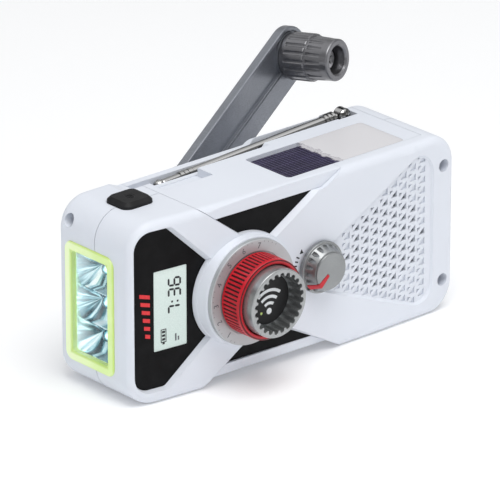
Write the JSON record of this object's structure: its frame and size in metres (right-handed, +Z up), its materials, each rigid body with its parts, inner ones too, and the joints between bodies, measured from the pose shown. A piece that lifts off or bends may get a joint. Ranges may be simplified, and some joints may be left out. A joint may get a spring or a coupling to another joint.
{
  "type": "emergency radio",
  "caption": "Hand-crank emergency radio with X-shaped shell, stacked tuning and band knobs, volume knob, display, solar top, end flashlight, folding crank and telescopic antenna.",
  "frame": {"origin": "middle of the case's footprint in plan, on the plane the case stands on", "axes": "+X towards the speaker end, -X towards the flashlight, -Y towards the front face with the knobs, +Y towards the crank, +Z up"},
  "size_m": [0.1476, 0.0954, 0.0905],
  "materials": {
    "case_white": "fine satin moulded ABS",
    "panel_black": "gloss black",
    "lcd": "reflective liquid crystal cell",
    "silver": "silver painted plastic, satin",
    "red": "satin red",
    "black_rubber": "matt",
    "cap_black": "matt",
    "crank_grey": "metallic grey paint",
    "chrome": "polished",
    "steel": "machined",
    "brass": "sintered",
    "clear": "clear",
    "solar": "amorphous silicon",
    "glow": "phosphorescent, translucent",
    "led": "clear epoxy",
    "board": "solder mask",
    "gear": "acetal",
    "paper": "pressed paper cone",
    "dark_steel": "black plated",
    "battery": "shrink sleeve",
    "component": "moulded part housing"
  },
  "bodies": {
    "root": {"antenna_bracket": "chrome", "antenna_pin": "chrome", "band_switch": "component", "battery_pack": "battery", "bottom_sill": "case_white", "case_screws": "steel", "charge_port": "steel", "crank_bushing": "brass", "dial_ring": "silver", "display_panel": "panel_black", "flashlight_leds": "led", "flashlight_lens": "clear", "front_shell": "case_white", "gearbox_plate": "component", "generator_body": "dark_steel", "glow_ring": "glow", "headphone_jack": "component", "idler_pin": "steel", "lcd_module": "lcd", "led_board": "board", "led_reflector": "chrome", "light_switch": "component", "lower_inlay": "panel_black", "main_board": "board", "port_board": "board", "rear_shell": "case_white", "solar_cell": "solar", "solar_cover": "clear", "speaker_cone": "paper", "speaker_frame": "dark_steel", "speaker_magnet": "dark_steel", "top_deck": "case_white", "tuning_encoder": "component", "upper_inlay": "panel_black", "usb_port": "steel", "volume_pot": "component"},
    "tuning": {"tuning_knob": "silver", "tuning_cap": "cap_black", "tuning_shaft": "steel"},
    "band": {"band_ring": "red"},
    "volume": {"volume_knob": "silver", "volume_pointer": "red", "volume_shaft": "steel"},
    "light_button": {"light_button": "black_rubber"},
    "port_flap": {"port_cover": "black_rubber"},
    "antenna_base": {"antenna_swivel": "chrome", "antenna_tube_1": "chrome"},
    "antenna_section_2": {"antenna_tube_2": "chrome"},
    "antenna_section_3": {"antenna_tube_3": "chrome"},
    "antenna_section_4": {"antenna_tip": "chrome"},
    "crank_drive": {"crank_hub": "crank_grey", "crank_shaft": "steel", "drive_gear": "gear", "fold_pin": "steel"},
    "crank_fold": {"crank_arm": "crank_grey", "knob_axle": "steel", "knob_screw": "steel"},
    "crank_grip": {"crank_knob": "crank_grey"},
    "idler": {"idler_gear": "gear"},
    "generator_rotor": {"generator_pinion": "gear"}
  },
  "joints": [
    {"name": "tuning_turn", "type": "hinge", "parent": "root", "child": "tuning", "pos_m": [-0.025, -0.0406, 0.034], "axis": [0, 1, 0], "continuous": true},
    {"name": "band_turn", "type": "hinge", "parent": "root", "child": "band", "pos_m": [-0.025, -0.031, 0.034], "axis": [0, 1, 0], "range_deg": [-90, 90]},
    {"name": "volume_turn", "type": "hinge", "parent": "root", "child": "volume", "pos_m": [0.008, -0.031, 0.034], "axis": [0, 1, 0], "range_deg": [0, 300]},
    {"name": "button_press", "type": "slide", "parent": "root", "child": "light_button", "axis": [0, 0, -1], "range_m": [0, 0.0008], "stiffness_N_per_m": 400},
    {"name": "port_flap_open", "type": "hinge", "parent": "root", "child": "port_flap", "pos_m": [-0.046, 0.021, 0.01225], "axis": [-1, 0, 0], "range_deg": [0, 110]},
    {"name": "antenna_lift", "type": "hinge", "parent": "root", "child": "antenna_base", "pos_m": [0.0543, 0.0151, 0.0676], "axis": [0, 1, 0], "range_deg": [0, 93]},
    {"name": "antenna_slide_2", "type": "slide", "parent": "antenna_base", "child": "antenna_section_2", "axis": [-0.9986, 0, -0.0523], "range_m": [0, 0.055]},
    {"name": "antenna_slide_3", "type": "slide", "parent": "antenna_section_2", "child": "antenna_section_3", "axis": [-0.9986, 0, -0.0523], "range_m": [0, 0.055]},
    {"name": "antenna_slide_4", "type": "slide", "parent": "antenna_section_3", "child": "antenna_section_4", "axis": [-0.9986, 0, -0.0523], "range_m": [0, 0.055]},
    {"name": "crank_turn", "type": "hinge", "parent": "root", "child": "crank_drive", "pos_m": [-0.0076, 0.024, 0.049], "axis": [0, 1, 0], "continuous": true},
    {"name": "crank_unfold", "type": "hinge", "parent": "crank_drive", "child": "crank_fold", "pos_m": [-0.0076, 0.0291, 0.049], "axis": [-0.4179, 0, 0.9085], "range_deg": [-16, 163]},
    {"name": "grip_turn", "type": "hinge", "parent": "crank_fold", "child": "crank_grip", "pos_m": [0.05908, 0.05015, 0.07967], "axis": [0.2504, -0.9613, 0.1152], "continuous": true},
    {"name": "idler_turn", "type": "hinge", "parent": "root", "child": "idler", "pos_m": [0.00005, 0.0105, 0.03575], "axis": [0, 1, 0], "continuous": true},
    {"name": "generator_turn", "type": "hinge", "parent": "root", "child": "generator_rotor", "pos_m": [-0.01583, 0, 0.02997], "axis": [0, 1, 0], "continuous": true}
  ],
  "couplings": [
    {"joint": "antenna_slide_3", "follows": "antenna_slide_2", "ratio": 1},
    {"joint": "antenna_slide_4", "follows": "antenna_slide_2", "ratio": 1},
    {"joint": "idler_turn", "follows": "crank_turn", "ratio": -2.1667},
    {"joint": "generator_turn", "follows": "crank_turn", "ratio": 5.4167}
  ]
}
